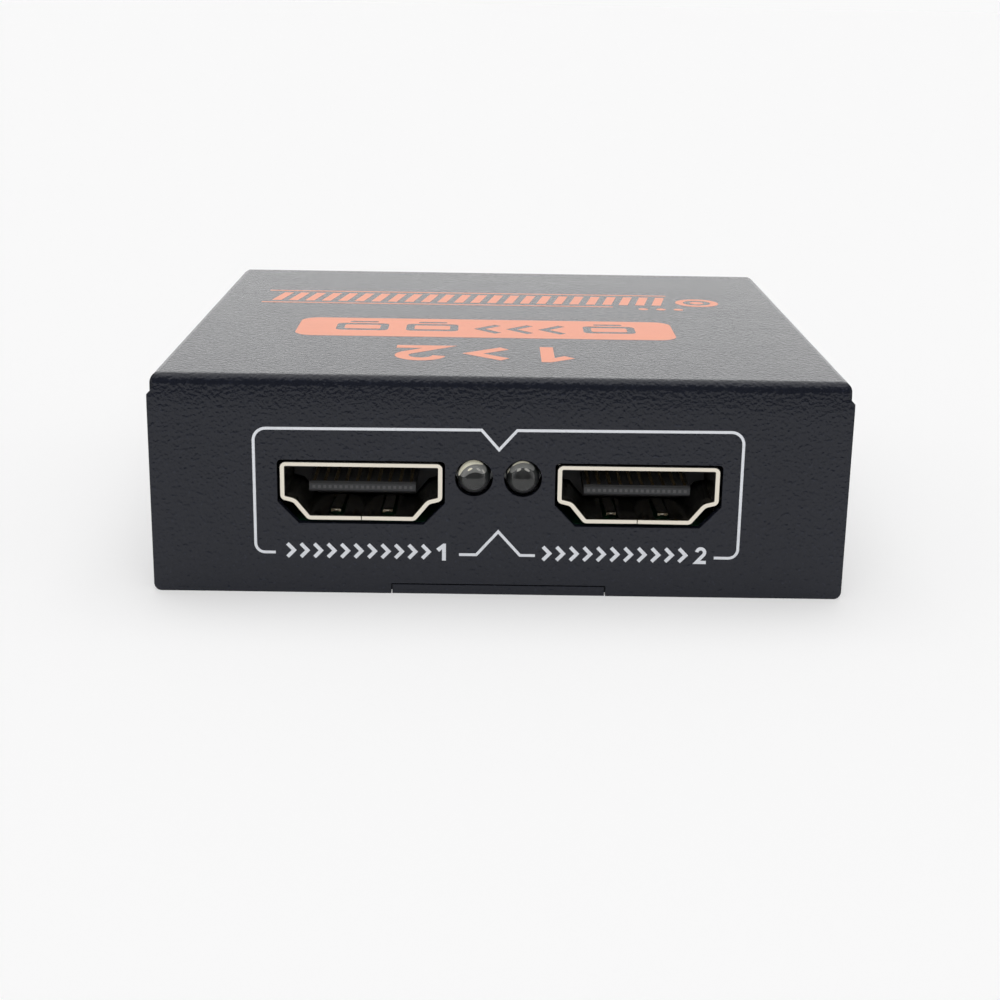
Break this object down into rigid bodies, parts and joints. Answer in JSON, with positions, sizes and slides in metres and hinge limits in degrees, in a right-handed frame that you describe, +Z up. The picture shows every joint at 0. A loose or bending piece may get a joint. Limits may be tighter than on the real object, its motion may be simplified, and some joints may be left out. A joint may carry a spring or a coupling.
{
  "type": "video splitter box",
  "caption": "Flat black sheet-metal box that feeds one video input to two outputs, with indicator lamps between the output sockets and a barrel power jack at the back.",
  "frame": {"origin": "centre of the footprint, on the underside of the base plate", "axes": "+Z up; the panel with the two output sockets and the lamps faces -Y; +X to the right of someone who looks at that panel"},
  "size_m": [0.0642, 0.0638, 0.0206],
  "materials": {
    "powder_coat": "fine-textured black powder coat",
    "black_screw": "black zinc",
    "nickel_shell": "bright nickel plate",
    "brass_post": "turned brass",
    "zinc_screw": "zinc plate",
    "board_laminate": "green solder mask",
    "black_resin": "moulded black resin",
    "chip_resin": "matt black moulding",
    "gold_contact": "gold flash",
    "tinned_lead": "tin plate",
    "clear_epoxy": "water-clear epoxy",
    "can_aluminium": "satin aluminium",
    "crystal_steel": "drawn steel",
    "ferrite": "pressed ferrite",
    "tan_ceramic": "fired ceramic",
    "resistor_black": "glazed ceramic",
    "fuse_green": "moulded polymer"
  },
  "bodies": {
    "root": {"cover": "powder_coat", "base_plate": "powder_coat", "cover_screws": "black_screw", "board_standoffs": "brass_post", "board_screws": "zinc_screw", "circuit_board": "board_laminate", "power_jack_housing": "black_resin", "power_jack_pin": "nickel_shell", "power_jack_sleeve_spring": "nickel_shell", "power_jack_break_contact": "nickel_shell", "splitter_chip": "chip_resin", "splitter_chip_legs": "tinned_lead", "control_chip": "chip_resin", "control_chip_legs": "tinned_lead", "memory_chip": "chip_resin", "memory_chip_legs": "tinned_lead", "voltage_regulator": "chip_resin", "voltage_regulator_leads": "tinned_lead", "power_inductor": "ferrite", "crystal_can": "crystal_steel", "crystal_base": "chip_resin", "storage_capacitors": "can_aluminium", "storage_capacitor_bases": "chip_resin", "ceramic_capacitors": "tan_ceramic", "resistors": "resistor_black", "surge_arrays": "chip_resin", "input_fuse": "fuse_green", "protection_diode": "chip_resin", "output_1_shell": "nickel_shell", "output_1_insulator": "black_resin", "output_1_upper_contacts": "gold_contact", "output_1_lower_contacts": "gold_contact", "output_2_shell": "nickel_shell", "output_2_insulator": "black_resin", "output_2_upper_contacts": "gold_contact", "output_2_lower_contacts": "gold_contact", "input_shell": "nickel_shell", "input_insulator": "black_resin", "input_upper_contacts": "gold_contact", "input_lower_contacts": "gold_contact", "lamp_1_lens": "clear_epoxy", "lamp_1_leads": "tinned_lead", "lamp_2_lens": "clear_epoxy", "lamp_2_leads": "tinned_lead"}
  },
  "joints": []
}
